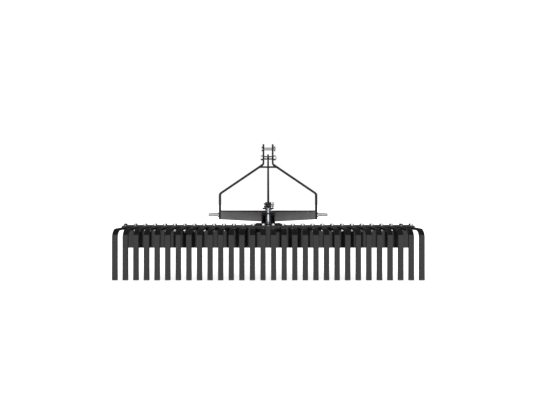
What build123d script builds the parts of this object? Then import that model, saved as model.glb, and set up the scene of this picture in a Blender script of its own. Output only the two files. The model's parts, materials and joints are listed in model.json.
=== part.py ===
"""Tractor landscape rake: spring tines on a swivelling toolbar, carried by a three-point hitch frame.

Millimetres. X runs along the toolbar, +Y points at the tractor, +Z is up. The origin is on the ground
under the middle of the object. Three bodies move: the frame is fixed, the head swivels about the king
pin, and the index pin slides up and down in the tongue.
"""
from build123d import *
import os

os.makedirs("parts", exist_ok=True)

# Overall
overall_depth = 848.0  # tine faces to the front of the hitch straps
rear_y = -overall_depth / 2
front_y = overall_depth / 2
running_gap = 0.05  # radial clearance of a running or sliding fit
bolt_gap = 0.3  # radial clearance of a bolt in its hole
press_gap = 0.1  # radial clearance of a pin that doesn't turn in its plate
index_hole_gap = 0.5  # radial clearance of the index pin in the holes it drops through

# Bolts and nuts, as shares of the thread diameter
bolt_flats_ratio = 1.55
bolt_head_ratio = 0.62
nut_height_ratio = 0.85
washer_ratio = 1.8
washer_height = 2.5

# Tines
tine_count = 30
tine_pitch = 50.8
tine_width = 25.4
tine_thickness = 9.5
tine_top_z = 246.0
tine_bend_radius = 42.0  # outside of the bend
tine_bolt_y = rear_y + 144.0

# Toolbar, an angle section
toolbar_length = 1500.0
toolbar_thickness = 8.0
flange_rear_y = rear_y + 123.0
leg_front_y = rear_y + 196.0
leg_bottom_z = 133.0
flange_top_z = tine_top_z + toolbar_thickness

# King pin and head
king_y = rear_y + 265.0
king_diameter = 28.0
head_plate_thickness = 10.0
sector_top_z = tine_top_z
sector_bottom_z = sector_top_z - head_plate_thickness
head_lower_bottom_z = 150.0
head_lower_top_z = head_lower_bottom_z + head_plate_thickness
head_width = 210.0
sector_radius = 128.0
index_radius = 110.0
index_step = 15.0
index_steps_each_side = 3
bush_wall = 3.0
bush_flange_diameter = 46.0
bush_flange_thickness = 2.7
tongue_slot_gap = 0.3
finger_width = 23.4
finger_rear_y = rear_y + 128.0
head_bolt_x = tine_pitch
head_bolt_y = rear_y + 150.0

# Tongue
tongue_width = 75.0
tongue_wall = 6.0
tongue_bottom_z = 257.0
tongue_top_z = 308.0
tongue_rear_y = rear_y + 288.0
root_plate_thickness = 8.0
root_plate_radius = tongue_width / 2
upper_plate_front_y = rear_y + 345.0
lower_plate_front_y = rear_y + 405.0

# Index pin, stored raised
index_y = king_y + index_radius
index_diameter = 16.0
index_tip_z = 248.0
index_handle_z = 337.0
index_handle_length = 66.0
index_handle_diameter = 10.0
index_guide_wall = 5.0

# Hitch, category 1
hitch_spread = 684.0  # over the outer faces of the straps
hitch_pin_z = 283.0
hitch_pin_diameter = 22.0
mast_height = 460.0
top_pin_z = hitch_pin_z + mast_height
top_pin_diameter = 19.0
strap_thickness = 12.0
strap_depth = 40.0
strap_rear_y = front_y - strap_depth
hitch_y = front_y - 18.0
strap_bottom_z = 252.0
strap_top_z = 774.0
strap_upper_x = 32.2  # centre of the upright upper part
strap_lower_x = (hitch_spread - strap_thickness) / 2
strap_upper_bend_z = 636.0
strap_lower_bend_z = 430.0
strap_bend_radius = 22.0

# Crossbar
crossbar_top_z = 308.0
crossbar_end_bottom_z = 252.0
crossbar_middle_bottom_z = 234.0
crossbar_thickness = 6.0
crossbar_half_length = hitch_spread / 2 - strap_thickness
crossbar_depth = 36.0
gusset_thickness = 6.0
gusset_reach = 110.0
gusset_half_width = 62.0

# Brace
brace_thickness = 12.0
brace_width = 50.0
brace_foot_y = rear_y + 310.0
brace_foot_z = 356.0
brace_head_z = 681.0
brace_pin_diameter = 16.0
lug_thickness = 10.0
lug_gap = 0.4
lug_radius = 18.0


def save(builder, name):
    """Label a finished piece and write it."""
    builder.part.label = name
    export_step(builder.part, f"parts/{name}.step")


def hexagon(across_flats, rotation=0.0):
    """A hexagon for a bolt head or nut, in the sketch that is open."""
    RegularPolygon(across_flats / 2, 6, major_radius=False, rotation=rotation)


# ---------------------------------------------------------------- head: tines and their fasteners
tine_xs = [(number - (tine_count - 1) / 2) * tine_pitch for number in range(tine_count)]
tine_leg_gap = 0.5
tine_front_y = leg_front_y - toolbar_thickness - tine_leg_gap
tine_hole_diameter = 13.0
tine_bolt_diameter = 12.0
tine_bolt_end_z = 221.0


def make_tine(name, x):
    """One flat tine: down from a bend, with a flat top that bolts under the flange."""
    middle_y = rear_y + tine_thickness / 2
    middle_z = tine_top_z - tine_thickness / 2
    with BuildPart() as tine:
        with BuildSketch(Plane.YZ.offset(x)):
            with BuildLine():
                FilletPolyline(
                    (middle_y, 0),
                    (middle_y, middle_z),
                    (tine_front_y, middle_z),
                    radius=tine_bend_radius - tine_thickness / 2,
                )
            trace(line_width=tine_thickness)
        extrude(amount=tine_width / 2, both=True)
        with BuildSketch(Plane.XY.offset(tine_top_z)):
            with Locations((x, tine_bolt_y)):
                Circle(tine_hole_diameter / 2)
        extrude(amount=-2 * tine_thickness, mode=Mode.SUBTRACT)
    save(tine, name)


for number, x in enumerate(tine_xs, start=1):
    make_tine(f"tine_{number:02d}", x)


def add_bolt(x, y, seat_z, diameter, end_z):
    """A hexagon bolt, head up on a washer face at seat_z, reaching down to end_z."""
    with BuildSketch(Plane.XY.offset(seat_z)) as section:
        with Locations((x, y)):
            Circle(washer_ratio * diameter / 2)
    extrude(section.sketch, amount=washer_height)
    with BuildSketch(Plane.XY.offset(seat_z + washer_height)) as section:
        with Locations((x, y)):
            hexagon(bolt_flats_ratio * diameter)
    extrude(section.sketch, amount=bolt_head_ratio * diameter)
    with BuildSketch(Plane.XY.offset(seat_z)) as section:
        with Locations((x, y)):
            Circle(diameter / 2)
    extrude(section.sketch, amount=end_z - seat_z)


def add_nut(x, y, seat_z, diameter):
    """A hexagon nut hanging under seat_z on a bolt."""
    with BuildSketch(Plane.XY.offset(seat_z)) as section:
        with Locations((x, y)):
            hexagon(bolt_flats_ratio * diameter)
            Circle(diameter / 2 + running_gap, mode=Mode.SUBTRACT)
    extrude(section.sketch, amount=-nut_height_ratio * diameter)


with BuildPart() as tine_bolts:
    for x in tine_xs:
        add_bolt(x, tine_bolt_y, flange_top_z, tine_bolt_diameter, tine_bolt_end_z)
save(tine_bolts, "tine_bolts")

with BuildPart() as tine_nuts:
    for x in tine_xs:
        add_nut(x, tine_bolt_y, tine_top_z - tine_thickness, tine_bolt_diameter)
save(tine_nuts, "tine_nuts")

# ---------------------------------------------------------------- head: toolbar, plates and bushes
head_bolt_diameter = 16.0
head_bolt_end_z = 218.0

with BuildPart() as toolbar:
    with BuildSketch(Plane.YZ):
        with BuildLine():
            Polyline(
                (flange_rear_y, flange_top_z),
                (leg_front_y, flange_top_z),
                (leg_front_y, leg_bottom_z),
                (leg_front_y - toolbar_thickness, leg_bottom_z),
                (leg_front_y - toolbar_thickness, tine_top_z),
                (flange_rear_y, tine_top_z),
                close=True,
            )
        make_face()
    extrude(amount=toolbar_length / 2, both=True)
    with BuildSketch(Plane.XY.offset(flange_top_z)):
        with Locations(*[(x, tine_bolt_y) for x in tine_xs]):
            Circle(tine_hole_diameter / 2)
        with Locations((-head_bolt_x, head_bolt_y), (head_bolt_x, head_bolt_y)):
            Circle(head_bolt_diameter / 2 + bolt_gap)
    extrude(amount=-toolbar_thickness, mode=Mode.SUBTRACT)
    with BuildSketch(Plane.XZ.offset(-leg_front_y)):
        with Locations((-head_bolt_x, sector_bottom_z), (head_bolt_x, sector_bottom_z)):
            Rectangle(
                finger_width + 2 * tongue_slot_gap,
                2 * head_plate_thickness,
            )
    extrude(amount=toolbar_thickness, mode=Mode.SUBTRACT)
save(toolbar, "toolbar")

with BuildPart() as index_sector:
    with BuildSketch(Plane.XY.offset(sector_bottom_z)):
        with Locations((0, king_y)):
            Circle(sector_radius)
        with Locations((0, leg_front_y)):
            Rectangle(
                head_width,
                2 * sector_radius,
                align=(Align.CENTER, Align.MIN),
                mode=Mode.INTERSECT,
            )
        with Locations((-head_bolt_x, leg_front_y), (head_bolt_x, leg_front_y)):
            Rectangle(finger_width, leg_front_y - finger_rear_y, align=(Align.CENTER, Align.MAX))
        with Locations((-head_bolt_x, head_bolt_y), (head_bolt_x, head_bolt_y)):
            Circle(head_bolt_diameter / 2 + bolt_gap, mode=Mode.SUBTRACT)
        with Locations((0, king_y)):
            Circle(king_diameter / 2 + bush_wall, mode=Mode.SUBTRACT)
            with PolarLocations(
                index_radius,
                2 * index_steps_each_side + 1,
                start_angle=90 - index_steps_each_side * index_step,
                angular_range=2 * index_steps_each_side * index_step,
                endpoint=True,
            ):
                Circle(index_diameter / 2 + index_hole_gap, mode=Mode.SUBTRACT)
    extrude(amount=head_plate_thickness)
save(index_sector, "index_sector")

head_lower_half_width = 70.0

with BuildPart() as pivot_plate_head_lower:
    with BuildSketch(Plane.XY.offset(head_lower_bottom_z)):
        with Locations((0, king_y)):
            Circle(head_lower_half_width)
        with Locations((0, leg_front_y)):
            Rectangle(
                2 * head_lower_half_width,
                king_y - leg_front_y,
                align=(Align.CENTER, Align.MIN),
            )
            Rectangle(
                2 * head_lower_half_width,
                2 * sector_radius,
                align=(Align.CENTER, Align.MIN),
                mode=Mode.INTERSECT,
            )
        with Locations((0, king_y)):
            Circle(king_diameter / 2 + bush_wall, mode=Mode.SUBTRACT)
    extrude(amount=head_plate_thickness)
save(pivot_plate_head_lower, "pivot_plate_head_lower")

gusset_x = 46.0
gusset_length = 60.0
head_gusset_thickness = 8.0

with BuildPart() as head_gussets:
    for x in (-gusset_x, gusset_x):
        with BuildSketch(Plane.YZ.offset(x)):
            with BuildLine():
                Polyline(
                    (leg_front_y, head_lower_top_z),
                    (leg_front_y + gusset_length / 2, head_lower_top_z),
                    (leg_front_y + gusset_length, sector_bottom_z),
                    (leg_front_y, sector_bottom_z),
                    close=True,
                )
            make_face()
        extrude(amount=head_gusset_thickness / 2, both=True)
save(head_gussets, "head_gussets")


def add_bush(plate_z, flange_z):
    """A flanged bush through a head plate whose underside is at plate_z."""
    bore = king_diameter / 2 + running_gap
    with BuildSketch(Plane.XY.offset(plate_z)) as section:
        with Locations((0, king_y)):
            Circle(king_diameter / 2 + bush_wall)
            Circle(bore, mode=Mode.SUBTRACT)
    extrude(section.sketch, amount=head_plate_thickness)
    with BuildSketch(Plane.XY.offset(flange_z)) as section:
        with Locations((0, king_y)):
            Circle(bush_flange_diameter / 2)
            Circle(bore, mode=Mode.SUBTRACT)
    extrude(section.sketch, amount=bush_flange_thickness)


with BuildPart() as swivel_bushes:
    add_bush(sector_bottom_z, sector_top_z)
    add_bush(head_lower_bottom_z, head_lower_bottom_z - bush_flange_thickness)
save(swivel_bushes, "swivel_bushes")

with BuildPart() as head_bolts:
    for x in (-head_bolt_x, head_bolt_x):
        add_bolt(x, head_bolt_y, flange_top_z, head_bolt_diameter, head_bolt_end_z)
        add_nut(x, head_bolt_y, sector_bottom_z, head_bolt_diameter)
save(head_bolts, "head_bolts")

# ---------------------------------------------------------------- frame: tongue and pivot plates
with BuildPart() as tongue_tube:
    with BuildSketch(Plane.XZ.offset(-tongue_rear_y)):
        with Locations((0, tongue_bottom_z)):
            Rectangle(
                tongue_width,
                tongue_top_z - tongue_bottom_z,
                align=(Align.CENTER, Align.MIN),
            )
        with Locations((0, tongue_bottom_z + tongue_wall)):
            Rectangle(
                tongue_width - 2 * tongue_wall,
                tongue_top_z - tongue_bottom_z - 2 * tongue_wall,
                align=(Align.CENTER, Align.MIN),
                mode=Mode.SUBTRACT,
            )
    extrude(amount=tongue_rear_y - strap_rear_y)
    with BuildSketch(Plane.XY.offset(tongue_top_z)):
        with Locations((0, index_y)):
            Circle(index_diameter / 2 + index_hole_gap)
    extrude(amount=tongue_bottom_z - tongue_top_z, mode=Mode.SUBTRACT)
save(tongue_tube, "tongue_tube")


def make_pivot_plate(name, bottom_z, plate_front_y, with_index_hole):
    """A round-ended plate welded to the tongue, bored for the king pin."""
    with BuildPart() as plate:
        with BuildSketch(Plane.XY.offset(bottom_z)):
            with Locations((0, king_y)):
                Circle(root_plate_radius)
                Rectangle(
                    tongue_width,
                    plate_front_y - king_y,
                    align=(Align.CENTER, Align.MIN),
                )
                Circle(king_diameter / 2 + press_gap, mode=Mode.SUBTRACT)
            if with_index_hole:
                with Locations((0, index_y)):
                    Circle(index_diameter / 2 + running_gap, mode=Mode.SUBTRACT)
        extrude(amount=root_plate_thickness)
    save(plate, name)


make_pivot_plate("pivot_plate_upper", tongue_top_z, upper_plate_front_y, False)
make_pivot_plate(
    "pivot_plate_lower",
    tongue_bottom_z - root_plate_thickness,
    lower_plate_front_y,
    True,
)

with BuildPart() as index_guide:
    with BuildSketch(Plane.XY.offset(tongue_bottom_z + tongue_wall)):
        with Locations((0, index_y)):
            Circle(index_diameter / 2 + index_guide_wall)
            Circle(index_diameter / 2 + running_gap, mode=Mode.SUBTRACT)
    extrude(amount=tongue_top_z - tongue_bottom_z - 2 * tongue_wall)
save(index_guide, "index_guide")

# ---------------------------------------------------------------- frame: king pin
king_head_gap = 0.3
king_head_top_z = head_lower_bottom_z - bush_flange_thickness - king_head_gap
king_head_height = 12.0
king_head_flats = 42.0
king_shank_top_z = 318.0
king_stub_diameter = 22.0
king_stub_top_z = 343.0
king_stub_chamfer = 2.5
linch_diameter = 6.0
king_linch_z = 329.0

with BuildPart() as king_pin:
    with BuildSketch(Plane.XY.offset(king_head_top_z)):
        with Locations((0, king_y)):
            hexagon(king_head_flats)
    extrude(amount=-king_head_height)
    with BuildSketch(Plane.XY.offset(king_head_top_z)):
        with Locations((0, king_y)):
            Circle(king_diameter / 2)
    extrude(amount=king_shank_top_z - king_head_top_z)
    with BuildSketch(Plane.XY.offset(king_shank_top_z)):
        with Locations((0, king_y)):
            Circle(king_stub_diameter / 2)
    extrude(amount=king_stub_top_z - king_shank_top_z)
    chamfer(king_pin.edges().group_by(Axis.Z)[-1], king_stub_chamfer)
    with BuildSketch(Plane.YZ):
        with Locations((king_y, king_linch_z)):
            Circle(linch_diameter / 2 + running_gap)
    extrude(amount=king_stub_diameter, both=True, mode=Mode.SUBTRACT)
save(king_pin, "king_pin")

# ---------------------------------------------------------------- frame: crossbar and gusset
with BuildPart() as crossbar:
    flange_bottom_z = crossbar_top_z - crossbar_thickness
    with BuildSketch(Plane.XZ.offset(-strap_rear_y)):
        with BuildLine():
            Polyline(
                (-crossbar_half_length, crossbar_top_z),
                (crossbar_half_length, crossbar_top_z),
                (crossbar_half_length, crossbar_end_bottom_z),
                (0, crossbar_middle_bottom_z),
                (-crossbar_half_length, crossbar_end_bottom_z),
                close=True,
            )
        make_face()
    extrude(amount=-crossbar_depth)
    with BuildSketch(Plane.XZ.offset(-strap_rear_y - crossbar_thickness)):
        with BuildLine():
            Polyline(
                (-crossbar_half_length, flange_bottom_z),
                (crossbar_half_length, flange_bottom_z),
                (crossbar_half_length, crossbar_end_bottom_z + crossbar_thickness),
                (0, crossbar_middle_bottom_z + crossbar_thickness),
                (-crossbar_half_length, crossbar_end_bottom_z + crossbar_thickness),
                close=True,
            )
        make_face()
    extrude(amount=-crossbar_depth, mode=Mode.SUBTRACT)
save(crossbar, "crossbar")

with BuildPart() as crossbar_top_gusset:
    with BuildSketch(Plane.XY.offset(crossbar_top_z)):
        with BuildLine():
            Polyline(
                (-crossbar_half_length, strap_rear_y + crossbar_depth),
                (crossbar_half_length, strap_rear_y + crossbar_depth),
                (crossbar_half_length, strap_rear_y),
                (gusset_half_width, strap_rear_y - gusset_reach),
                (-gusset_half_width, strap_rear_y - gusset_reach),
                (-crossbar_half_length, strap_rear_y),
                close=True,
            )
        make_face()
    extrude(amount=gusset_thickness)
save(crossbar_top_gusset, "crossbar_top_gusset")

# ---------------------------------------------------------------- frame: mast
hitch_thread_diameter = 20.0


def make_mast_strap(name, side):
    """A flat bar bent out from the top-link clevis and down to a lower hitch ear."""
    with BuildPart() as strap:
        with BuildSketch(Plane.XZ.offset(-strap_rear_y)):
            with BuildLine():
                FilletPolyline(
                    (side * strap_lower_x, strap_bottom_z),
                    (side * strap_lower_x, strap_lower_bend_z),
                    (side * strap_upper_x, strap_upper_bend_z),
                    (side * strap_upper_x, strap_top_z),
                    radius=strap_bend_radius,
                )
            trace(line_width=strap_thickness)
        extrude(amount=-strap_depth)
        with BuildSketch(Plane.YZ.offset(side * strap_upper_x)):
            with Locations((hitch_y, top_pin_z)):
                Circle(top_pin_diameter / 2 + bolt_gap)
            with Locations((hitch_y, brace_head_z)):
                Circle(hitch_thread_diameter / 2 + bolt_gap)
        extrude(amount=strap_thickness, both=True, mode=Mode.SUBTRACT)
        with BuildSketch(Plane.YZ.offset(side * strap_lower_x)):
            with Locations((hitch_y, hitch_pin_z)):
                Circle(hitch_thread_diameter / 2 + bolt_gap)
        extrude(amount=strap_thickness, both=True, mode=Mode.SUBTRACT)
    save(strap, name)


make_mast_strap("mast_strap_left", -1)
make_mast_strap("mast_strap_right", 1)

spacer_bottom_z = 612.0
spacer_top_z = 621.0
strap_rise = strap_upper_bend_z - strap_lower_bend_z
strap_run = strap_lower_x - strap_upper_x
strap_slope_length = (strap_rise**2 + strap_run**2) ** 0.5


def strap_inner_x(z):
    """Half the gap between the sloped straps at height z."""
    middle_x = strap_upper_x + (strap_upper_bend_z - z) * strap_run / strap_rise
    return middle_x - strap_thickness / 2 * strap_slope_length / strap_rise


with BuildPart() as mast_spacer:
    with BuildSketch(Plane.XZ.offset(-strap_rear_y)):
        with BuildLine():
            Polyline(
                (-strap_inner_x(spacer_bottom_z), spacer_bottom_z),
                (strap_inner_x(spacer_bottom_z), spacer_bottom_z),
                (strap_inner_x(spacer_top_z), spacer_top_z),
                (-strap_inner_x(spacer_top_z), spacer_top_z),
                close=True,
            )
        make_face()
    extrude(amount=-strap_depth)
save(mast_spacer, "mast_spacer")

# ---------------------------------------------------------------- frame: pins and bolts along X
strap_outer_x = strap_upper_x + strap_thickness / 2
strap_inner_upper_x = strap_upper_x - strap_thickness / 2


def add_rod(start_x, end_x, y, z, diameter):
    """A round bar along X, in the part that is open."""
    with BuildSketch(Plane.YZ.offset(start_x)) as section:
        with Locations((y, z)):
            Circle(diameter / 2)
    extrude(section.sketch, amount=end_x - start_x)


def cut_cross_hole(x, y, z, diameter):
    """An upright hole through a pin that lies along X."""
    with BuildSketch(Plane.XY.offset(z)) as section:
        with Locations((x, y)):
            Circle(diameter / 2)
    extrude(section.sketch, amount=2 * hitch_pin_diameter, both=True, mode=Mode.SUBTRACT)


top_pin_linch_x = 46.0
top_pin_end_x = 54.0
top_pin_head_length = 7.0
top_pin_head_diameter = 33.0
pin_end_chamfer = 2.0

with BuildPart() as top_link_pin:
    add_rod(-strap_outer_x - top_pin_head_length, -strap_outer_x, hitch_y, top_pin_z, top_pin_head_diameter)
    add_rod(-strap_outer_x, top_pin_end_x, hitch_y, top_pin_z, top_pin_diameter)
    chamfer(top_link_pin.edges().group_by(Axis.X)[-1], pin_end_chamfer)
    cut_cross_hole(top_pin_linch_x, hitch_y, top_pin_z, linch_diameter + 2 * running_gap)
save(top_link_pin, "top_link_pin")

m20_flats = 30.0
m20_nut_length = 16.0
brace_bolt_head_length = 13.0
thread_proud = 5.0  # thread showing past a nut
thread_chamfer = 1.5

with BuildPart() as brace_bolt:
    with BuildSketch(Plane.YZ.offset(-strap_outer_x)):
        with Locations((hitch_y, brace_head_z)):
            hexagon(m20_flats, rotation=30)
    extrude(amount=-brace_bolt_head_length)
    brace_bolt_end_x = strap_outer_x + m20_nut_length + thread_proud
    add_rod(-strap_outer_x, brace_bolt_end_x, hitch_y, brace_head_z, hitch_thread_diameter)
    chamfer(brace_bolt.edges().group_by(Axis.X)[-1], thread_chamfer)
save(brace_bolt, "brace_bolt")

spacer_gap = 0.2
spacer_diameter = 26.0

with BuildPart() as brace_bolt_spacers:
    for side in (-1, 1):
        inner_x = side * (brace_thickness / 2 + spacer_gap)
        with BuildSketch(Plane.YZ.offset(inner_x)):
            with Locations((hitch_y, brace_head_z)):
                Circle(spacer_diameter / 2)
                Circle(hitch_thread_diameter / 2 + bolt_gap, mode=Mode.SUBTRACT)
        extrude(amount=side * (strap_inner_upper_x - spacer_gap) - inner_x)
save(brace_bolt_spacers, "brace_bolt_spacers")

hitch_collar_length = 6.0
hitch_collar_diameter = 32.0
hitch_pin_end_x = 416.0
hitch_linch_x = 404.0
hitch_linch_hole_diameter = 11.0
hitch_nut_inner_x = 313.0
ear_outer_x = hitch_spread / 2


def make_hitch_pin(name, side):
    """A lower hitch pin: shouldered, threaded through the ear, cross-drilled at its free end."""
    with BuildPart() as pin:
        add_rod(
            side * (hitch_nut_inner_x - thread_proud),
            side * ear_outer_x,
            hitch_y,
            hitch_pin_z,
            hitch_thread_diameter,
        )
        add_rod(
            side * ear_outer_x,
            side * (ear_outer_x + hitch_collar_length),
            hitch_y,
            hitch_pin_z,
            hitch_collar_diameter,
        )
        add_rod(
            side * (ear_outer_x + hitch_collar_length),
            side * hitch_pin_end_x,
            hitch_y,
            hitch_pin_z,
            hitch_pin_diameter,
        )
        end = pin.edges().group_by(Axis.X)[-1 if side > 0 else 0]
        chamfer(end, pin_end_chamfer)
        cut_cross_hole(side * hitch_linch_x, hitch_y, hitch_pin_z, hitch_linch_hole_diameter)
    save(pin, name)


make_hitch_pin("lower_hitch_pin_left", -1)
make_hitch_pin("lower_hitch_pin_right", 1)

with BuildPart() as m20_nuts:
    nut_places = (
        (strap_outer_x, brace_head_z),
        (hitch_nut_inner_x, hitch_pin_z),
        (-hitch_nut_inner_x - m20_nut_length, hitch_pin_z),
    )
    for start_x, z in nut_places:
        with BuildSketch(Plane.YZ.offset(start_x)):
            with Locations((hitch_y, z)):
                hexagon(m20_flats, rotation=30)
                Circle(hitch_thread_diameter / 2 + running_gap, mode=Mode.SUBTRACT)
        extrude(amount=m20_nut_length)
save(m20_nuts, "m20_nuts")

# ---------------------------------------------------------------- frame: brace
brace_plane = Plane.YZ.offset(-brace_thickness / 2)
brace_front_gap = 1.0  # the brace's round head is trimmed this far behind the straps' front edges

with BuildPart() as brace_bar:
    with BuildSketch(brace_plane):
        with BuildLine():
            Line((brace_foot_y, brace_foot_z), (hitch_y, brace_head_z))
        trace(line_width=brace_width)
        with Locations((brace_foot_y, brace_foot_z), (hitch_y, brace_head_z)):
            Circle(brace_width / 2)
        with Locations((brace_foot_y, brace_foot_z)):
            Circle(brace_pin_diameter / 2 + bolt_gap, mode=Mode.SUBTRACT)
        with Locations((hitch_y, brace_head_z)):
            Circle(hitch_thread_diameter / 2 + bolt_gap, mode=Mode.SUBTRACT)
        with Locations((front_y - brace_front_gap, brace_head_z)):
            Rectangle(brace_width, 2 * brace_width, align=(Align.MIN, Align.CENTER), mode=Mode.SUBTRACT)
    extrude(amount=brace_thickness)
save(brace_bar, "brace_bar")

lug_inner_x = brace_thickness / 2 + lug_gap
lug_outer_x = lug_inner_x + lug_thickness
lug_bottom_z = tongue_top_z + root_plate_thickness

with BuildPart() as brace_lugs:
    for side in (-1, 1):
        with BuildSketch(Plane.YZ.offset(side * lug_inner_x)):
            with Locations((brace_foot_y, brace_foot_z)):
                Circle(lug_radius)
                Rectangle(
                    2 * lug_radius,
                    brace_foot_z - lug_bottom_z,
                    align=(Align.CENTER, Align.MAX),
                )
                Circle(brace_pin_diameter / 2 + bolt_gap, mode=Mode.SUBTRACT)
        extrude(amount=side * lug_thickness)
save(brace_lugs, "brace_lugs")

brace_pin_linch_x = 26.0
brace_pin_end_x = 34.0
brace_pin_head_length = 8.0
brace_pin_head_diameter = 24.0

with BuildPart() as brace_lower_pin:
    add_rod(
        -lug_outer_x - brace_pin_head_length,
        -lug_outer_x,
        brace_foot_y,
        brace_foot_z,
        brace_pin_head_diameter,
    )
    add_rod(-lug_outer_x, brace_pin_end_x, brace_foot_y, brace_foot_z, brace_pin_diameter)
    chamfer(brace_lower_pin.edges().group_by(Axis.X)[-1], thread_chamfer)
    cut_cross_hole(brace_pin_linch_x, brace_foot_y, brace_foot_z, linch_diameter + 2 * running_gap)
save(brace_lower_pin, "brace_lower_pin")


# ---------------------------------------------------------------- frame: linch pins
linch_wire_diameter = 3.0
linch_head_length = 9.0
linch_head_width = 10.0
linch_head_depth = 14.0
linch_head_corner = 3.0
linch_clearance = 2.0  # from the surface of the pin that it locks to its head


def add_linch_pin(crossing, reach):
    """A linch pin. The crossing plane's Z runs along the pin it locks, and its X along its own shaft."""
    shaft_plane = Plane(crossing.origin, x_dir=crossing.z_dir, z_dir=crossing.x_dir)
    tail = reach + linch_head_length / 2
    with BuildSketch(shaft_plane.offset(-tail)) as section:
        Circle(linch_diameter / 2)
    extrude(section.sketch, amount=tail + reach)
    with BuildSketch(shaft_plane.offset(reach)) as section:
        RectangleRounded(linch_head_width, linch_head_depth, linch_head_corner)
    extrude(section.sketch, amount=linch_head_length)
    ring_section = Plane(crossing.origin, x_dir=crossing.x_dir, z_dir=crossing.y_dir)
    with BuildSketch(ring_section) as section:
        with Locations((tail, 0)):
            Circle(linch_wire_diameter / 2)
    revolve(section.sketch, axis=Axis(crossing.origin, crossing.z_dir))


with BuildPart() as linch_pins:
    add_linch_pin(
        Plane((top_pin_linch_x, hitch_y, top_pin_z), x_dir=(0, 0, 1), z_dir=(1, 0, 0)),
        top_pin_diameter / 2 + linch_clearance,
    )
    add_linch_pin(
        Plane((brace_pin_linch_x, brace_foot_y, brace_foot_z), x_dir=(0, 0, 1), z_dir=(1, 0, 0)),
        brace_pin_diameter / 2 + linch_clearance,
    )
    add_linch_pin(
        Plane((0, king_y, king_linch_z), x_dir=(1, 0, 0), z_dir=(0, 0, 1)),
        king_stub_diameter / 2 + linch_clearance,
    )
save(linch_pins, "linch_pins")

# ---------------------------------------------------------------- index pin
handle_hole_diameter = index_handle_diameter + 2 * running_gap
index_pin_above_handle = 10.0
index_tip_chamfer = 2.0
index_top_chamfer = 1.0
handle_chamfer = 1.5

with BuildPart() as index_pin:
    with BuildSketch(Plane.XY.offset(index_tip_z)):
        with Locations((0, index_y)):
            Circle(index_diameter / 2)
    extrude(amount=index_handle_z + index_pin_above_handle - index_tip_z)
    chamfer(index_pin.edges().group_by(Axis.Z)[0], index_tip_chamfer)
    chamfer(index_pin.edges().group_by(Axis.Z)[-1], index_top_chamfer)
    with BuildSketch(Plane.YZ):
        with Locations((index_y, index_handle_z)):
            Circle(handle_hole_diameter / 2)
    extrude(amount=index_diameter, both=True, mode=Mode.SUBTRACT)
save(index_pin, "index_pin")

with BuildPart() as index_pin_handle:
    add_rod(-index_handle_length / 2, index_handle_length / 2, index_y, index_handle_z, index_handle_diameter)
    chamfer(index_pin_handle.edges().group_by(Axis.X)[0], handle_chamfer)
    chamfer(index_pin_handle.edges().group_by(Axis.X)[-1], handle_chamfer)
save(index_pin_handle, "index_pin_handle")
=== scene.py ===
"""Looks for the landscape rake: paint, plating, fasteners, weld beads and studio, around the CAD frame."""
import json
from math import cos, pi, radians, sin, tan

import bpy
from mathutils import Matrix, Vector, noise


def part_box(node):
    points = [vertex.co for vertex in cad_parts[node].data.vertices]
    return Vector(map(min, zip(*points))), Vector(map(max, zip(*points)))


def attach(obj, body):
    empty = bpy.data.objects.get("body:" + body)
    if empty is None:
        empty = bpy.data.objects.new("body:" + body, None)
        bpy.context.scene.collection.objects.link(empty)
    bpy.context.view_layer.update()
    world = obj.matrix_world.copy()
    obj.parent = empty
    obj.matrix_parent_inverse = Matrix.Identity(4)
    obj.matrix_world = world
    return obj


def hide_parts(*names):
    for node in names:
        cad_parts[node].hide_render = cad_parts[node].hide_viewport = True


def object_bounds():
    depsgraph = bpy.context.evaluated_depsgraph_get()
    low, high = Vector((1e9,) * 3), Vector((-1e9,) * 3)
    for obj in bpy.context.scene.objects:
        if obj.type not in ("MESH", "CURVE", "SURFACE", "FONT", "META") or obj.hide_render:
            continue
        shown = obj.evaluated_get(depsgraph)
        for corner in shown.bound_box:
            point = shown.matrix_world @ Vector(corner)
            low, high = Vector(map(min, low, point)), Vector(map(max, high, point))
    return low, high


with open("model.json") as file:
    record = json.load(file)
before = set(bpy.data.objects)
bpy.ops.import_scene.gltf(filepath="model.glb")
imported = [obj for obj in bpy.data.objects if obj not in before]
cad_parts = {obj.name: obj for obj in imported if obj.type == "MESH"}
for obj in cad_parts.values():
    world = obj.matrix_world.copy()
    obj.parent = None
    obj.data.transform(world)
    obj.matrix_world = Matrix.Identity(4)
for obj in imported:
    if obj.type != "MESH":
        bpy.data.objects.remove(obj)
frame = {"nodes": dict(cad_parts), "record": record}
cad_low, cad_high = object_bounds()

nodes = frame["nodes"]
slot_of_node = {row["node"]: row["material_slot"] for row in frame["record"]["subparts"]}
MM = 0.001


# ------------------------------------------------------------------ shader node helpers
def new_material(name):
    """A node material, with its tree and its Principled shader."""
    material = bpy.data.materials.new(name)
    material.use_nodes = True
    tree = material.node_tree
    return material, tree, tree.nodes["Principled BSDF"]


def add(tree, kind, **values):
    """Adds a node, setting attributes by name and sockets given as in_Scale, in_From_Min and so on."""
    node = tree.nodes.new(kind)
    for key, value in values.items():
        if key.startswith("in_"):
            node.inputs[key[3:].replace("_", " ")].default_value = value
        else:
            setattr(node, key, value)
    return node


def connect(tree, value, socket):
    """Links a socket's value to another socket, or sets it where the value is a number or a colour."""
    if isinstance(value, (int, float, tuple)):
        socket.default_value = value
    else:
        tree.links.new(value, socket)


def grey(value):
    return (value, value, value, 1.0)


def ramp(tree, source, low, high, low_position=0.0, high_position=1.0):
    """A two-stop colour ramp on a value."""
    node = add(tree, "ShaderNodeValToRGB")
    first, last = node.color_ramp.elements
    first.position, last.position = low_position, high_position
    first.color, last.color = low, high
    tree.links.new(source, node.inputs["Fac"])
    return node.outputs["Color"]


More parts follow.
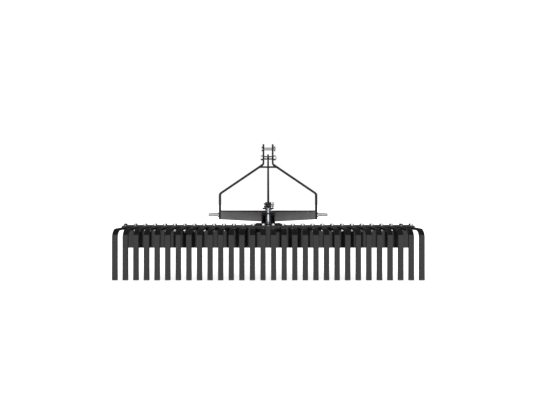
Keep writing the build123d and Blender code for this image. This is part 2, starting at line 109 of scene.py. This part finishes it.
def grey_ramp(tree, source, low, high, low_position=0.0, high_position=1.0):
    """A ramp between two greys, for roughness, masks and black paint."""
    return ramp(tree, source, grey(low), grey(high), low_position, high_position)


def noise_value(tree, scale, detail, roughness, stretch=(1, 1, 1)):
    """Object-space noise, with the space stretched where a grain runs one way."""
    place = add(tree, "ShaderNodeTexCoord")
    mapping = add(tree, "ShaderNodeMapping", in_Scale=stretch)
    texture = add(tree, "ShaderNodeTexNoise", in_Scale=scale, in_Detail=detail, in_Roughness=roughness)
    tree.links.new(place.outputs["Object"], mapping.inputs["Vector"])
    tree.links.new(mapping.outputs["Vector"], texture.inputs["Vector"])
    return texture.outputs["Fac"]


def bump(tree, shader, height, distance, strength):
    """Raises the surface by a height socket, over a distance in metres."""
    node = add(tree, "ShaderNodeBump", in_Strength=strength, in_Distance=distance)
    tree.links.new(height, node.inputs["Height"])
    tree.links.new(node.outputs["Normal"], shader.inputs["Normal"])


def mix_color(tree, factor, first, second):
    """Mixes two colours, each a socket or a tuple, by a factor socket."""
    node = add(tree, "ShaderNodeMix", data_type="RGBA")
    colour_a, colour_b, colour_result = node.inputs[6], node.inputs[7], node.outputs[2]
    tree.links.new(factor, node.inputs[0])
    connect(tree, first, colour_a)
    connect(tree, second, colour_b)
    return colour_result


def calculate(tree, operation, *values):
    """The result of a math node on values that are each a socket or a number."""
    node = add(tree, "ShaderNodeMath", operation=operation)
    for value, socket in zip(values, node.inputs):
        connect(tree, value, socket)
    return node.outputs[0]


# ------------------------------------------------------------------ materials
# Noise scales, in cells per metre
ORANGE_PEEL = 420.0
PAINT_CLOUD = 9.0
DUST = 60.0
SCUFF = 130.0
PLATING_CLOUD = 55.0
PLATING_GRAIN = 900.0
WELD_GRAIN = 240.0
RUBBED_STEEL = (0.11, 0.11, 0.115, 1.0)
RUBBED_Z = 15 * MM  # height to which the ground rubs the tines' paint


def paint_material(name, base, roughness, specular, rubbed_z=None):
    """Black paint with orange peel and faint dust, rubbed to grey steel below a height if one is given."""
    material, tree, shader = new_material(name)
    peel = noise_value(tree, ORANGE_PEEL, 2.0, 0.45)
    cloud = noise_value(tree, PAINT_CLOUD, 4.0, 0.6)
    dust = grey_ramp(tree, noise_value(tree, DUST, 5.0, 0.65), 0.0, 0.35, 0.55, 0.8)
    tone = grey_ramp(tree, cloud, base * 0.8, base * 1.25, 0.3, 0.7)
    colour = mix_color(tree, dust, tone, grey(base * 2.2))
    rough = grey_ramp(tree, cloud, roughness * 0.8, roughness * 1.35, 0.3, 0.75)
    if rubbed_z is not None:
        place = add(tree, "ShaderNodeTexCoord")
        split = add(tree, "ShaderNodeSeparateXYZ")
        tree.links.new(place.outputs["Object"], split.inputs[0])
        nearness = add(tree, "ShaderNodeMapRange", in_From_Max=rubbed_z, in_To_Min=1.0, in_To_Max=0.0)
        tree.links.new(split.outputs["Z"], nearness.inputs["Value"])
        scuff = noise_value(tree, SCUFF, 4.0, 0.7, (1, 1, 0.35))
        rubbed = grey_ramp(tree, calculate(tree, "MULTIPLY", scuff, nearness.outputs[0]), 0.0, 0.6, 0.34, 0.5)
        colour = mix_color(tree, rubbed, colour, RUBBED_STEEL)
        rough = mix_color(tree, rubbed, rough, grey(0.5))
    tree.links.new(colour, shader.inputs["Base Color"])
    tree.links.new(rough, shader.inputs["Roughness"])
    shader.inputs["Specular IOR Level"].default_value = specular
    bump(tree, shader, peel, 0.03 * MM, 0.3)
    return material


def metal_material(name, red, green, blue, roughness):
    """Bright metal with a fine grain and a slightly uneven tint."""
    material, tree, shader = new_material(name)
    cloud = noise_value(tree, PLATING_CLOUD, 3.0, 0.55)
    grain = noise_value(tree, PLATING_GRAIN, 2.0, 0.5)
    dark = (red * 0.78, green * 0.8, blue * 0.84, 1.0)
    tree.links.new(ramp(tree, cloud, dark, (red, green, blue, 1.0), 0.35, 0.65), shader.inputs["Base Color"])
    rough = grey_ramp(tree, grain, roughness * 0.8, roughness * 1.4, 0.3, 0.7)
    tree.links.new(rough, shader.inputs["Roughness"])
    shader.inputs["Metallic"].default_value = 1.0
    bump(tree, shader, grain, 0.03 * MM, 0.4)
    return material


def weld_material():
    """Painted weld bead: the same black, a little duller and grainier."""
    material, tree, shader = new_material("weld_paint")
    grain = noise_value(tree, WELD_GRAIN, 3.0, 0.6)
    tree.links.new(grey_ramp(tree, grain, 0.014, 0.03, 0.35, 0.65), shader.inputs["Base Color"])
    tree.links.new(grey_ramp(tree, grain, 0.2, 0.34, 0.3, 0.7), shader.inputs["Roughness"])
    shader.inputs["Coat Weight"].default_value = 0.25
    bump(tree, shader, grain, 0.1 * MM, 0.4)
    return material


materials = {
    "frame_paint": paint_material("frame_paint", base=0.009, roughness=0.12, specular=0.22),
    # plate_paint is the frame's black paint with a much lighter base: painted brightness on the crossbar and
    # gusset, standing in for the light that falls on them
    "plate_paint": paint_material("plate_paint", base=0.1, roughness=0.36, specular=0.9),
    "tine_paint": paint_material("tine_paint", base=0.007, roughness=0.09, specular=0.5, rubbed_z=RUBBED_Z),
    "zinc_plate": metal_material("zinc_plate", 0.82, 0.83, 0.85, roughness=0.14),
    "bush_bronze": metal_material("bush_bronze", 0.55, 0.38, 0.19, roughness=0.3),
}
weld_paint = weld_material()

# ------------------------------------------------------------------ CAD nodes: finish and softened edges
CAD_CREASE = radians(35)  # edges sharper than this are rounded
PIECE_CREASE = radians(32)  # edges of mesh pieces sharper than this stay crisp
FLAT_ANGLE = radians(0.5)  # triangles closer than this to one plane become one face
EDGE_RADIUS = {
    "tine_paint": 1.1 * MM,
    "frame_paint": 0.9 * MM,
    "plate_paint": 0.9 * MM,
    "zinc_plate": 0.5 * MM,
    "bush_bronze": 0.4 * MM,
}


def make_smoothing():
    """A node group that shades faces smooth across every edge gentler than the crease angle."""
    group = bpy.data.node_groups.new("smooth_by_angle", "GeometryNodeTree")
    group.interface.new_socket("Geometry", in_out="INPUT", socket_type="NodeSocketGeometry")
    group.interface.new_socket("Geometry", in_out="OUTPUT", socket_type="NodeSocketGeometry")
    start, end = group.nodes.new("NodeGroupInput"), group.nodes.new("NodeGroupOutput")
    faces = add(group, "GeometryNodeSetShadeSmooth", domain="FACE")
    edges = add(group, "GeometryNodeSetShadeSmooth", domain="EDGE")
    angle = group.nodes.new("GeometryNodeInputMeshEdgeAngle")
    gentle = add(group, "FunctionNodeCompare", operation="LESS_THAN", in_B=CAD_CREASE)
    group.links.new(start.outputs[0], faces.inputs["Geometry"])
    group.links.new(faces.outputs[0], edges.inputs["Geometry"])
    group.links.new(angle.outputs["Unsigned Angle"], gentle.inputs["A"])
    group.links.new(gentle.outputs[0], edges.inputs["Shade Smooth"])
    group.links.new(edges.outputs[0], end.inputs[0])
    return group


smoothing = make_smoothing()


def finish_node(name):
    """Gives a CAD node its material and rounds its sharp edges with modifiers."""
    node = nodes[name]
    slot = slot_of_node[name]
    node.data.materials.clear()
    node.data.materials.append(materials[slot])
    weld = node.modifiers.new("join", "WELD")
    weld.merge_threshold = 0.01 * MM
    flats = node.modifiers.new("flats", "DECIMATE")
    flats.decimate_type = "DISSOLVE"
    flats.angle_limit = FLAT_ANGLE
    edge = node.modifiers.new("edges", "BEVEL")
    edge.width = EDGE_RADIUS[slot]
    edge.segments = 3
    edge.limit_method = "ANGLE"
    edge.angle_limit = CAD_CREASE
    node.modifiers.new("smooth", "NODES").node_group = smoothing
    normals = node.modifiers.new("normals", "WEIGHTED_NORMAL")
    normals.keep_sharp = True


for node_name in nodes:
    finish_node(node_name)


# ------------------------------------------------------------------ mesh pieces
class Shell:
    """Collects vertices and faces of several closed shapes for one mesh."""

    def __init__(self):
        self.vertices = []
        self.faces = []

    def add_rings(self, rings, place, closed_loop=False):
        """Joins equal rings of local points into a skin, placed by a matrix.

        The skin is capped at both ends, or joined end to end where it is a closed loop.
        """
        start = len(self.vertices)
        count = len(rings[0])
        for ring in rings:
            self.vertices.extend(place @ Vector(point) for point in ring)
        bands = len(rings) if closed_loop else len(rings) - 1
        for band in range(bands):
            low = start + band * count
            high = start + (band + 1) % len(rings) * count
            for i in range(count):
                j = (i + 1) % count
                self.faces.append((low + i, low + j, high + j, high + i))
        if not closed_loop:
            last = start + (len(rings) - 1) * count
            self.faces.append(tuple(start + i for i in reversed(range(count))))
            self.faces.append(tuple(last + i for i in range(count)))


def make_piece(name, shell, material, body, slot, *replaced):
    """Makes a mesh piece that rides on a body and stands for CAD nodes if any are named."""
    mesh = bpy.data.meshes.new(name)
    mesh.from_pydata([tuple(v) for v in shell.vertices], [], shell.faces)
    mesh.materials.append(material)
    mesh.validate()
    mesh.update()
    piece = bpy.data.objects.new(name, mesh)
    bpy.context.scene.collection.objects.link(piece)
    mesh.shade_smooth()
    mesh.set_sharp_from_angle(angle=PIECE_CREASE)
    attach(piece, body)
    if replaced:
        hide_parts(*replaced)


# ------------------------------------------------------------------ fastener shapes
HEAD_SIDES = 48  # points round a head, nut or washer
SHANK_SIDES = 24
CHAMFER_SLOPE = tan(radians(30))
CHAMFER_CIRCLE = 0.48  # radius where a head's chamfer starts, over its width across flats
FLATS_RATIO = 1.55  # width across flats over thread diameter
NUT_RATIO = 0.85  # nut height over thread diameter
WASHER_RATIO = 1.8  # washer diameter over thread diameter
WASHER_THICKNESS = 2.5 * MM
WASHER_INSET = 0.2 * MM  # keeps washers just inside the CAD's
NUT_PLAY = 0.1 * MM


def circle_ring(radius, z, sides=HEAD_SIDES):
    return [(radius * cos(2 * pi * i / sides), radius * sin(2 * pi * i / sides), z) for i in range(sides)]


def hexagon_ring(flats, z, rise=0):
    """A ring on a hexagon. With a rise of 1 or -1 it follows the chamfer up or down towards the corners."""
    ring = []
    for i in range(HEAD_SIDES):
        angle = 2 * pi * i / HEAD_SIDES
        radius = flats / 2 / cos(angle % (pi / 3) - pi / 6)
        height = z + rise * (radius - CHAMFER_CIRCLE * flats) * CHAMFER_SLOPE
        ring.append((radius * cos(angle), radius * sin(angle), height))
    return ring


def add_hexagon_head(shell, place, flats, height):
    """A bolt head standing on z = 0, chamfered at the top, with a shallow dish in its face."""
    dish_z = height - 0.3 * MM
    rings = [
        hexagon_ring(flats, 0),
        hexagon_ring(flats, height, rise=-1),
        circle_ring(CHAMFER_CIRCLE * flats, height),
        circle_ring(0.4 * flats, height),
        circle_ring(0.34 * flats, dish_z),
        circle_ring(0.02 * flats, dish_z),
    ]
    shell.add_rings(rings, place)


def add_washer(shell, place, bore, diameter):
    """A flat washer standing on z = 0 with broken edges."""
    edge = 0.3 * MM
    inner, outer, top = bore / 2, diameter / 2, WASHER_THICKNESS
    rings = [
        circle_ring(inner, edge),
        circle_ring(inner, top - edge),
        circle_ring(inner + edge, top),
        circle_ring(outer - edge, top),
        circle_ring(outer, top - edge),
        circle_ring(outer, edge),
        circle_ring(outer - edge, 0),
        circle_ring(inner + edge, 0),
    ]
    shell.add_rings(rings, place, closed_loop=True)


def add_nut(shell, place, diameter, flats, height):
    """A nut standing on z = 0, chamfered top and bottom, with a countersunk bore."""
    sink = 0.6 * MM
    inner = (diameter + NUT_PLAY) / 2
    rings = [
        circle_ring(inner, sink),
        circle_ring(inner, height - sink),
        circle_ring(inner + sink, height),
        circle_ring(CHAMFER_CIRCLE * flats, height),
        hexagon_ring(flats, height, rise=-1),
        hexagon_ring(flats, 0, rise=1),
        circle_ring(CHAMFER_CIRCLE * flats, 0),
        circle_ring(inner + sink, 0),
    ]
    shell.add_rings(rings, place, closed_loop=True)


def add_thread(shell, place, diameter, pitch, start, end):
    """A threaded stretch of shank from z = start down to z = end, with a tapered tip."""
    depth = 0.54 * pitch
    taper = 1.2 * pitch
    tip_slope = 0.7
    length = start - end
    steps = int(length / (pitch / 5))
    rings = []
    for row in range(steps + 1):
        down = row * length / steps
        run_in = min(1.0, down / pitch)
        tip = max(0.0, down - (length - taper)) * tip_slope
        ring = []
        for i in range(SHANK_SIDES):
            turn = i / SHANK_SIDES
            phase = (down / pitch + turn) % 1.0
            radius = diameter / 2 - depth * abs(2 * phase - 1) * run_in - tip
            ring.append((radius * cos(2 * pi * turn), radius * sin(2 * pi * turn), start - down))
        rings.append(ring)
    shell.add_rings(rings, place)


def add_bolt(shell, place, diameter, flats, head_height, pitch, thread_start, shank_end, seat=0.0):
    """A head at z = seat and a part-threaded shank that runs down from it past z = 0."""
    radius = diameter / 2
    add_hexagon_head(shell, place @ Matrix.Translation((0, 0, seat)), flats, head_height)
    shank = [circle_ring(radius, thread_start, SHANK_SIDES), circle_ring(radius, seat, SHANK_SIDES)]
    shell.add_rings(shank, place)
    add_thread(shell, place, diameter, pitch, thread_start, shank_end)


def add_washered_bolt(shell, place, diameter, total_height, pitch, thread_start, shank_end):
    """A bolt on a washer. The total height is that of the washer and head."""
    bore = 1.08 * diameter
    head_height = total_height - WASHER_THICKNESS
    flats = FLATS_RATIO * diameter
    add_washer(shell, place, bore, WASHER_RATIO * diameter - WASHER_INSET)
    add_bolt(
        shell, place, diameter, flats, head_height, pitch, thread_start, shank_end, seat=WASHER_THICKNESS
    )


# ------------------------------------------------------------------ fasteners
TINES = sorted(name for name in nodes if name.startswith("tine_") and name[5:].isdigit())
tine_columns = [(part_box(name)[0].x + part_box(name)[1].x) / 2 for name in TINES]
TINE_PITCH = 50.8 * MM
flange_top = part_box("toolbar")[1].z


def spin(index):
    """A small, repeatable turn that differs from one fastener to the next, up to 8 degrees each way."""
    return Matrix.Rotation(radians(index * 37 % 17 - 8), 4, "Z")


def make_tine_fasteners():
    """The bolts down through the flange and tines, and the nuts under the tines."""
    m12, pitch = 12 * MM, 1.75 * MM
    bolt_low, bolt_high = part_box("tine_bolts")
    nut_low, nut_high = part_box("tine_nuts")
    y = (bolt_low.y + bolt_high.y) / 2
    thread_inset = 0.5 * MM  # where the thread starts, below the top of the nut
    thread_start = nut_high.z - thread_inset - flange_top
    bolts, nuts = Shell(), Shell()
    for index, x in enumerate(tine_columns):
        top = Matrix.Translation((x, y, flange_top)) @ spin(index)
        under = Matrix.Translation((x, y, nut_low.z)) @ spin(index + 3)
        add_washered_bolt(
            bolts, top, m12, bolt_high.z - flange_top, pitch, thread_start, bolt_low.z - flange_top
        )
        add_nut(nuts, under, m12, FLATS_RATIO * m12, nut_high.z - nut_low.z)
    zinc = materials["zinc_plate"]
    make_piece("tine_bolts_threaded", bolts, zinc, "head", "zinc_plate", "tine_bolts")
    make_piece("tine_nuts_chamfered", nuts, zinc, "head", "zinc_plate", "tine_nuts")


def make_head_bolts():
    """The two painted bolts either side of the king pin, with their nuts."""
    m16, pitch = 16 * MM, 2 * MM
    nut_height = NUT_RATIO * m16
    low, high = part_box("head_bolts")
    y = (low.y + high.y) / 2
    sector_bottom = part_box("index_sector")[0].z
    thread_inset = 1 * MM  # where the thread starts, below the top of the nut
    thread_start = sector_bottom - thread_inset - flange_top
    shell = Shell()
    for index, x in enumerate((-TINE_PITCH, TINE_PITCH)):
        top = Matrix.Translation((x, y, flange_top)) @ spin(2 * index + 1)
        under = Matrix.Translation((x, y, sector_bottom - nut_height)) @ spin(index + 5)
        add_washered_bolt(shell, top, m16, high.z - flange_top, pitch, thread_start, low.z - flange_top)
        add_nut(shell, under, m16, FLATS_RATIO * m16, nut_height)
    make_piece("head_bolts_threaded", shell, materials["frame_paint"], "head", "frame_paint", "head_bolts")


def make_m20_fasteners():
    """The bolt through the brace's head with its nut, and the hitch pins' nuts inside the channel."""
    m20, flats, nut_length, pitch = 20 * MM, 30 * MM, 16 * MM, 2.5 * MM
    head_height = 13 * MM
    low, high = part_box("brace_bolt")
    nut_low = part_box("m20_nuts")[0]
    y = (low.y + high.y) / 2
    brace_z = (low.z + high.z) / 2
    ear_z = nut_low.z + (high.z - low.z) / 2
    strap_outer_x = -(low.x + head_height)
    thread_inset = 6 * MM  # where the thread starts, inside the far strap
    thread_start = thread_inset - 2 * strap_outer_x
    bolt, nuts = Shell(), Shell()
    seat = Matrix.Translation((-strap_outer_x, y, brace_z)) @ Matrix.Rotation(radians(-90), 4, "Y")
    add_bolt(bolt, seat, m20, flats, head_height, pitch, thread_start, -(high.x + strap_outer_x))
    for x, z in ((strap_outer_x, brace_z), (nut_low.x, ear_z), (-nut_low.x - nut_length, ear_z)):
        place = Matrix.Translation((x, y, z)) @ Matrix.Rotation(radians(90), 4, "Y")
        add_nut(nuts, place, m20, flats, nut_length)
    zinc = materials["zinc_plate"]
    make_piece("brace_bolt_threaded", bolt, zinc, "frame", "zinc_plate", "brace_bolt")
    make_piece("m20_nuts_chamfered", nuts, zinc, "frame", "zinc_plate", "m20_nuts")


make_tine_fasteners()
make_head_bolts()
make_m20_fasteners()

# ------------------------------------------------------------------ weld beads
RIPPLE = 3.6 * MM  # length of one ripple
BEAD_SIDES = 10
WANDER = 90.0  # noise cells per metre of bead
WIDE_BEAD = 3.4 * MM
FRAME_BEAD = 2.6 * MM
HEAD_BEAD = 2.4 * MM


def bead_size(travelled, along, length, radius, seed):
    """A bead's radius: it swells with each ripple, wanders a little and is rounded off at both ends."""
    ripple = (travelled + along) / RIPPLE % 1.0
    wander = noise.noise(Vector((seed, (travelled + along) * WANDER, 0)))
    nearest_end = min(along, length - along)
    rounding = min(1.0, (nearest_end + 0.4 * radius) / (1.2 * radius))
    return radius * (0.86 + 0.16 * ripple + 0.14 * wander) * max(0.25, rounding) ** 0.5


def add_bead(shell, points, radius, seed):
    """A weld bead along a polyline."""
    travelled = 0.0
    for start, end in zip(points[:-1], points[1:]):
        start, end = Vector(start), Vector(end)
        length = (end - start).length
        along = (end - start).normalized()
        across = along.orthogonal().normalized()
        other = along.cross(across)
        rows = max(4, int(length / (RIPPLE / 4)))
        rings = []
        for row in range(rows + 1):
            reach = length * row / rows
            size = bead_size(travelled, reach, length, radius, seed)
            middle = start + along * reach
            rings.append([middle + across * a + other * b for a, b, _ in circle_ring(size, 0, BEAD_SIDES)])
        shell.add_rings(rings, Matrix.Identity(4))
        travelled += length


def make_welds(name, body, runs):
    """One mesh of weld beads. Each run is (points, bead radius)."""
    shell = Shell()
    for index, (points, radius) in enumerate(runs):
        add_bead(shell, points, radius, seed=index * 7.3)
    make_piece(name, shell, weld_paint, body, "frame_paint")


def along_x(low, high, y, z, margin=0.0):
    """A run in X from low to high, less a margin at each end. The next two do the same in Y and Z."""
    return [(low + margin, y, z), (high - margin, y, z)]


def along_y(x, low, high, z, margin=0.0):
    return [(x, low + margin, z), (x, high - margin, z)]


def along_z(x, y, low, high, margin=0.0):
    return [(x, y, low + margin), (x, y, high - margin)]


def both_sides(points, radius):
    """The same run on the left and on the right."""
    return [([(side * x, y, z) for x, y, z in points], radius) for side in (-1, 1)]


def make_frame_welds():
    """Beads that join the crossbar, gusset, tongue, pivot plates, lugs and mast."""
    bar_low, bar_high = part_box("crossbar")
    gusset_low, gusset_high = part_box("crossbar_top_gusset")
    tube_low, tube_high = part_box("tongue_tube")
    upper_low, upper_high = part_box("pivot_plate_upper")
    lower_low, lower_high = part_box("pivot_plate_lower")
    lug_low, lug_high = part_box("brace_lugs")
    spacer_low, spacer_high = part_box("mast_spacer")
    ear_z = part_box("mast_strap_right")[0].z
    lug_thickness = 10 * MM
    strap_lean = 13.5 * MM  # how far a strap leans in over the height of the spacer
    lug_inner_x = lug_high.x - lug_thickness
    strap_inner_x = spacer_high.x - strap_lean
    wide, narrow = WIDE_BEAD, FRAME_BEAD
    margin = 4 * MM

    # the crossbar's ends, top edges and gusset
    runs = both_sides(along_z(bar_high.x, bar_low.y, ear_z, bar_high.z, margin), wide)
    runs += both_sides(along_y(bar_high.x, bar_low.y, bar_high.y, gusset_high.z, margin), wide)

    # the tongue against the crossbar
    runs += both_sides(along_z(tube_high.x, tube_high.y, tube_low.z, tube_high.z, margin), wide)
    runs.append((along_x(tube_low.x, tube_high.x, tube_high.y, tube_low.z), wide))
    runs.append((along_x(tube_low.x, tube_high.x, gusset_low.y, tube_high.z), narrow))
    runs += both_sides(along_y(tube_high.x, gusset_low.y, bar_low.y, tube_high.z, margin), narrow)
    runs.append((along_x(gusset_low.x, gusset_high.x, gusset_high.y, bar_high.z, margin), narrow))

    # the pivot plates over and under the tongue
    plates = ((upper_low, upper_high, tube_high.z), (lower_low, lower_high, tube_low.z))
    for plate_low, plate_high, z in plates:
        runs += both_sides(along_y(tube_high.x, tube_low.y, plate_high.y, z, margin), narrow)
        runs.append((along_x(plate_low.x, plate_high.x, plate_high.y, z, margin), narrow))

    # the brace lugs, and the spacer between the mast straps
    runs += both_sides(along_y(lug_high.x, lug_low.y, lug_high.y, lug_low.z), narrow)
    for y in (lug_low.y, lug_high.y):
        runs += both_sides(along_x(lug_inner_x, lug_high.x, y, lug_low.z), narrow)
    for x, z in ((spacer_high.x, spacer_low.z), (strap_inner_x, spacer_high.z)):
        runs += both_sides(along_y(x, spacer_low.y, spacer_high.y, z, margin), narrow)
    make_welds("frame_weld_beads", "frame", runs)


def make_head_welds():
    """Beads that join the sector, lower plate and gussets to the toolbar's leg."""
    sector_low, sector_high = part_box("index_sector")
    plate_low, plate_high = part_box("pivot_plate_head_lower")
    leg_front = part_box("toolbar")[1].y
    rib_outer_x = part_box("head_gussets")[1].x
    rib_thickness = 8 * MM
    margin = 3 * MM
    runs = []
    for low, high in ((sector_low, sector_high), (plate_low, plate_high)):
        for z in (low.z, high.z):
            runs.append((along_x(low.x, high.x, leg_front, z, margin), WIDE_BEAD))
    for x in (rib_outer_x, rib_outer_x - rib_thickness):
        runs += both_sides(along_z(x, leg_front, plate_high.z, sector_low.z, margin), HEAD_BEAD)
    make_welds("head_weld_beads", "head", runs)


make_frame_welds()
make_head_welds()

# ------------------------------------------------------------------ studio
CAMERA_DISTANCE = 1.8  # from the tine faces
CAMERA_HEIGHT = 0.383
CAMERA_X = -0.004
LENS = 25.3
FLOOR_REACH = 30.0
FLOOR_GLOW = 0.7  # share of the floor's white that shadows don't touch
SUN_STRENGTH = 3.4
SUN_SPREAD = radians(100)
STUDIO_BASE = 0.05  # how bright reflections are where no softbox stands
REAR_SOFTBOX = 1.14  # upright, behind the camera
SIDE_SOFTBOX = 1.3  # overhead, left and right
LOW_SOFTBOX = 0.9  # all round, where a pale floor would show in the reflections

# Softbox edges: where a part of the direction is this, the box is (dark, fully lit)
REAR_EDGE_Y = (-0.84, -0.9)
REAR_TOP_Z = (0.6, 0.42)
REAR_BOTTOM_Z = (-0.62, -0.5)
SIDE_EDGE_X = (0.4, 0.58)
SIDE_BOTTOM_Z = (0.2, 0.4)
LOW_TOP_Z = (-0.3, -0.42)
LOW_BOTTOM_Z = (-0.66, -0.54)


def make_camera():
    """Level camera straight behind the tines."""
    data = bpy.data.cameras.new("camera")
    data.lens = LENS
    data.sensor_width = 36.0
    camera = bpy.data.objects.new("camera", data)
    camera.location = (CAMERA_X, cad_low.y - CAMERA_DISTANCE, CAMERA_HEIGHT)
    camera.rotation_euler = (radians(90), 0, 0)
    bpy.context.scene.collection.objects.link(camera)
    bpy.context.scene.camera = camera


def make_floor():
    """A plain pale floor, lit from within so that shadows stay light, and left out of reflections."""
    mesh = bpy.data.meshes.new("floor")
    corners = [(x * FLOOR_REACH, y * FLOOR_REACH, 0) for x, y in ((-1, -1), (1, -1), (1, 1), (-1, 1))]
    mesh.from_pydata(corners, [], [(0, 1, 2, 3)])
    floor = bpy.data.objects.new("floor", mesh)
    material, tree, shader = new_material("floor_paper")
    fleck = noise_value(tree, 3.0, 2.0, 0.5)
    tree.links.new(grey_ramp(tree, fleck, 0.5, 0.52), shader.inputs["Base Color"])
    shader.inputs["Roughness"].default_value = 0.9
    shader.inputs["Specular IOR Level"].default_value = 0.1
    shader.inputs["Emission Color"].default_value = grey(1.0)
    shader.inputs["Emission Strength"].default_value = FLOOR_GLOW
    mesh.materials.append(material)
    bpy.context.scene.collection.objects.link(floor)
    floor.visible_glossy = False


def fade(tree, value, edge):
    """0 where the value is at the edge's dark end, rising smoothly to 1 at its lit end and beyond."""
    dark, lit = edge
    node = add(tree, "ShaderNodeMapRange", interpolation_type="SMOOTHSTEP")
    rising = lit > dark
    node.inputs["From Min"].default_value = min(edge)
    node.inputs["From Max"].default_value = max(edge)
    node.inputs["To Min"].default_value = 0.0 if rising else 1.0
    node.inputs["To Max"].default_value = 1.0 if rising else 0.0
    tree.links.new(value, node.inputs["Value"])
    return node.outputs[0]


def make_world():
    """A studio: white where it is seen, and in reflections dim with softboxes."""
    world = bpy.data.worlds.new("studio")
    bpy.context.scene.world = world
    world.use_nodes = True
    tree = world.node_tree
    place = add(tree, "ShaderNodeTexCoord")
    direction = add(tree, "ShaderNodeSeparateXYZ")
    tree.links.new(place.outputs["Generated"], direction.inputs[0])
    x, y, z = direction.outputs
    flat = add(tree, "ShaderNodeCombineXYZ")
    tree.links.new(x, flat.inputs["X"])
    tree.links.new(y, flat.inputs["Y"])
    heading = add(tree, "ShaderNodeVectorMath", operation="NORMALIZE")
    tree.links.new(flat.outputs[0], heading.inputs[0])
    split_heading = add(tree, "ShaderNodeSeparateXYZ")
    tree.links.new(heading.outputs["Vector"], split_heading.inputs[0])
    heading_y = split_heading.outputs["Y"]
    sideways = calculate(tree, "ABSOLUTE", x)

    softboxes = (
        (REAR_SOFTBOX, ((heading_y, REAR_EDGE_Y), (z, REAR_TOP_Z), (z, REAR_BOTTOM_Z))),
        (SIDE_SOFTBOX, ((sideways, SIDE_EDGE_X), (z, SIDE_BOTTOM_Z))),
        (LOW_SOFTBOX, ((z, LOW_TOP_Z), (z, LOW_BOTTOM_Z))),
    )
    level = STUDIO_BASE
    for box, edges in softboxes:
        for value, edge in edges:
            box = calculate(tree, "MULTIPLY", fade(tree, value, edge), box)
        level = calculate(tree, "ADD", box, level)
    path = add(tree, "ShaderNodeLightPath")
    background = tree.nodes["Background"]
    seen = mix_color(tree, path.outputs["Is Camera Ray"], level, grey(1.0))
    tree.links.new(seen, background.inputs["Color"])
    background.inputs["Strength"].default_value = 1.0


def make_sun():
    """Very soft overhead light, left out of reflections."""
    data = bpy.data.lights.new("overhead", "SUN")
    data.energy = SUN_STRENGTH
    data.angle = SUN_SPREAD
    light = bpy.data.objects.new("overhead", data)
    light.rotation_euler = (radians(-12), radians(8), 0)
    light.visible_glossy = False
    bpy.context.scene.collection.objects.link(light)


make_camera()
make_floor()
make_world()
make_sun()
bpy.context.scene.view_settings.view_transform = "Standard"
